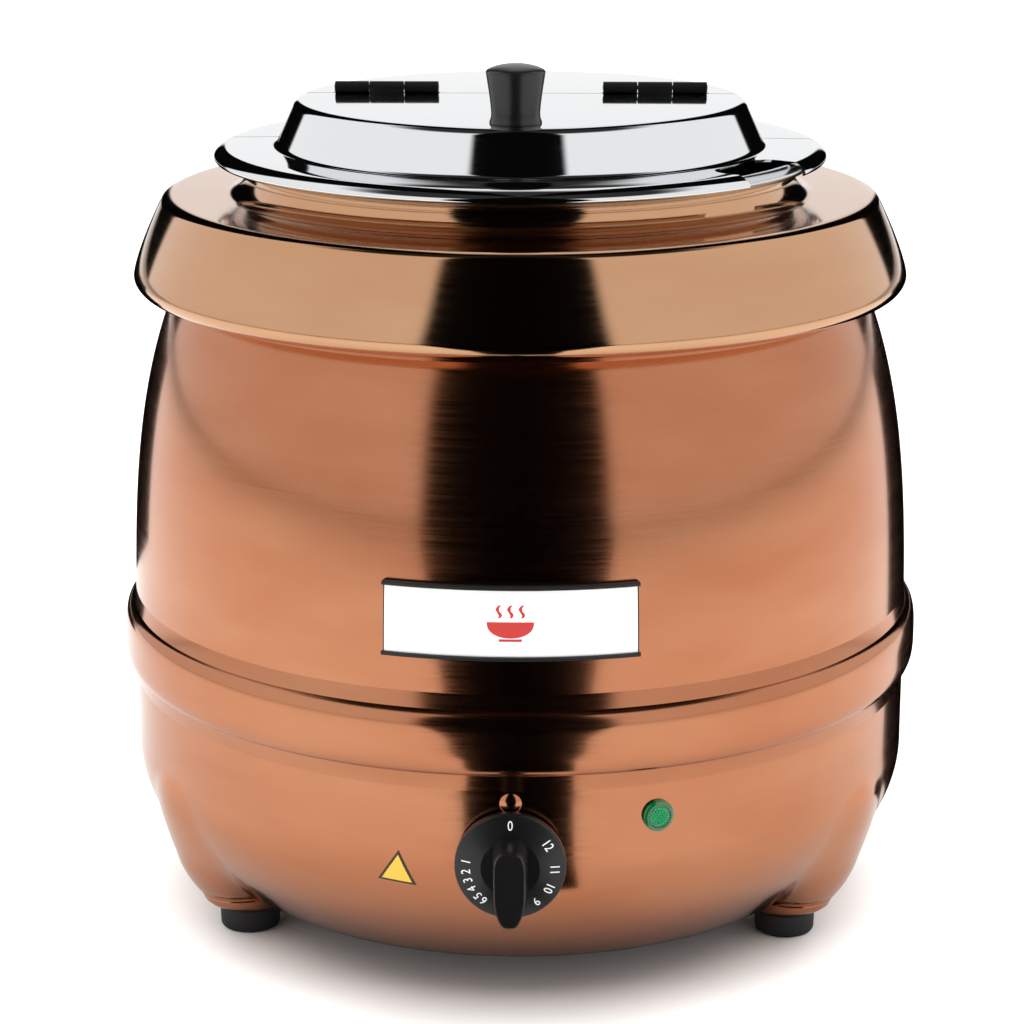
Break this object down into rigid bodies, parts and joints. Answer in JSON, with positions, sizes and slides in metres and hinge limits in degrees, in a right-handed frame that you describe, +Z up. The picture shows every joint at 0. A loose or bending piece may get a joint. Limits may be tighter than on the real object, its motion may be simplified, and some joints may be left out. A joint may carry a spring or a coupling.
{
  "type": "soup kettle",
  "caption": "Barrel-shaped heated soup kettle with a beaded body, collar, lift-out pot, split hinged lid with knob and ladle notch, dial, lamp and label rail.",
  "frame": {"origin": "on the table, under the body's vertical axis", "axes": "+Z up, front with the dial towards -Y, cord gland towards +Y"},
  "size_m": [0.3456, 0.38, 0.3713],
  "materials": {
    "copper_finish": "copper-coloured, lacquered, polished steel",
    "stainless_polished": "mirror polished",
    "stainless_satin": "satin",
    "zinc_steel": "zinc plated",
    "aluminium": "as cast",
    "element_sheath": "oxidised",
    "black_plastic": "moulded, semi-gloss",
    "black_matt": "moulded, matt",
    "black_enamel": "black, satin",
    "rubber": "matt",
    "silicone": "matt",
    "mineral_wool": "fibrous",
    "green_lens": "clear green, faceted",
    "white_card": "printed sheet",
    "yellow_print": "printed foil",
    "cream_plastic": "moulded",
    "brass": "turned",
    "copper_tube": "drawn",
    "wire_insulation": "silicone sleeve"
  },
  "bodies": {
    "kettle": {"lower_shell": "copper_finish", "upper_shell": "copper_finish", "top_collar": "copper_finish", "collar_gasket": "silicone", "water_well": "stainless_satin", "insulation_sleeve": "mineral_wool", "heating_element": "element_sheath", "heat_spreader": "aluminium", "element_clamp": "zinc_steel", "thermal_cutout": "black_matt", "tie_stud": "zinc_steel", "tie_nuts": "zinc_steel", "base_plate": "zinc_steel", "base_screws": "zinc_steel", "rubber_foot_left": "rubber", "rubber_foot_right": "rubber", "rubber_foot_rear": "rubber", "foot_screws": "zinc_steel", "foot_nuts": "zinc_steel", "thermostat": "cream_plastic", "thermostat_nut": "zinc_steel", "sensing_bulb": "copper_tube", "pilot_lamp_body": "black_matt", "pilot_lamp_lens": "green_lens", "label_holder": "black_matt", "hot_surface_mark": "yellow_print", "rating_plate": "stainless_satin", "cord_gland": "black_matt", "gland_nut": "black_matt", "terminal_block": "cream_plastic", "earth_stud": "brass", "internal_wiring": "wire_insulation"},
    "pot": {"inner_pot": "stainless_polished"},
    "lid": {"lid_rear_half": "stainless_polished", "rear_leaf_left": "black_enamel", "rear_leaf_right": "black_enamel", "hinge_pins": "stainless_satin"},
    "lid_flap": {"lid_front_half": "stainless_polished", "front_leaf_left": "black_enamel", "front_leaf_right": "black_enamel", "lid_knob": "black_plastic", "knob_screw": "zinc_steel"},
    "dial": {"dial_knob": "black_plastic", "dial_shaft": "brass"},
    "label": {"label_card": "white_card"}
  },
  "joints": [
    {"name": "pot_lift", "type": "slide", "parent": "kettle", "child": "pot", "axis": [0, 0, 1], "range_m": [0, 0.27]},
    {"name": "lid_lift", "type": "slide", "parent": "pot", "child": "lid", "axis": [0, 0, 1], "range_m": [0, 0.1]},
    {"name": "lid_hinge", "type": "hinge", "parent": "lid", "child": "lid_flap", "pos_m": [0, 0.012, 0.3504], "axis": [-1, 0, 0], "range_deg": [0, 165]},
    {"name": "dial_turn", "type": "hinge", "parent": "kettle", "child": "dial", "pos_m": [0, -0.17, 0.072], "axis": [0, 1, 0], "range_deg": [0, 303]},
    {"name": "label_slide", "type": "hinge", "parent": "kettle", "child": "label", "pos_m": [0, 0, 0.17], "axis": [0, 0, 1], "range_deg": [0, 32]}
  ]
}
